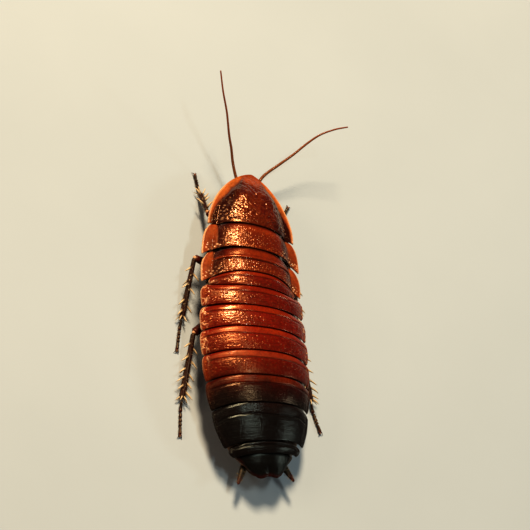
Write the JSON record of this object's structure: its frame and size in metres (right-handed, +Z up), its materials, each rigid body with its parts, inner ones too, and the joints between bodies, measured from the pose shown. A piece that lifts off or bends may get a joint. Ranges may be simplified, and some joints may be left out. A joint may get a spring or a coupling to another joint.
{
  "type": "madagascar hissing cockroach model",
  "caption": "Life-size adult female hissing cockroach standing on six legs, with a domed shield over the head, overlapping back plates and raised feelers.",
  "frame": {"origin": "on the floor under the middle of the whole model's box, feelers and feet included", "axes": "+Y forward along the thorax towards the head, +X to the insect's right, +Z up from the floor"},
  "size_m": [0.0346, 0.0854, 0.0159],
  "materials": {
    "shell_dark": "dark brown chitin, pebbled, amber rim",
    "shell_brown": "glossy brown chitin, amber side lobes",
    "shell_red": "glossy mahogany chitin",
    "shell_black": "black chitin with a satin sheen",
    "shell_belly": "brown chitin",
    "head": "dark brown chitin",
    "eye": "black, faceted",
    "antenna": "brown, ringed",
    "leg": "dark brown chitin with reddish spines"
  },
  "bodies": {
    "root": {"antenna_left": "antenna", "antenna_left_scape": "antenna", "antenna_right": "antenna", "antenna_right_scape": "antenna", "cercus_left": "shell_black", "cercus_right": "shell_black", "eye_left": "eye", "eye_right": "eye", "fore_coxa_left": "leg", "fore_coxa_right": "leg", "fore_femur_left": "leg", "fore_femur_right": "leg", "fore_tarsus_left": "leg", "fore_tarsus_right": "leg", "fore_tibia_left": "leg", "fore_tibia_right": "leg", "head": "head", "hind_coxa_left": "leg", "hind_coxa_right": "leg", "hind_femur_left": "leg", "hind_femur_right": "leg", "hind_tarsus_left": "leg", "hind_tarsus_right": "leg", "hind_tibia_left": "leg", "hind_tibia_right": "leg", "labial_palp_left": "leg", "labial_palp_right": "leg", "maxillary_palp_left": "leg", "maxillary_palp_right": "leg", "mesonotum": "shell_brown", "mesosternum": "shell_belly", "metanotum": "shell_brown", "metasternum": "shell_belly", "mid_coxa_left": "leg", "mid_coxa_right": "leg", "mid_femur_left": "leg", "mid_femur_right": "leg", "mid_tarsus_left": "leg", "mid_tarsus_right": "leg", "mid_tibia_left": "leg", "mid_tibia_right": "leg", "pronotum": "shell_dark", "prosternum": "shell_belly", "sternite_2": "shell_belly", "sternite_3": "shell_belly", "sternite_4": "shell_belly", "sternite_5": "shell_belly", "sternite_6": "shell_belly", "sternite_7": "shell_belly", "supra_anal_plate": "shell_black", "tergite_1": "shell_red", "tergite_2": "shell_red", "tergite_3": "shell_red", "tergite_4": "shell_red", "tergite_5": "shell_red", "tergite_6": "shell_black", "tergite_7": "shell_black", "tergite_8_9": "shell_black"}
  },
  "joints": []
}
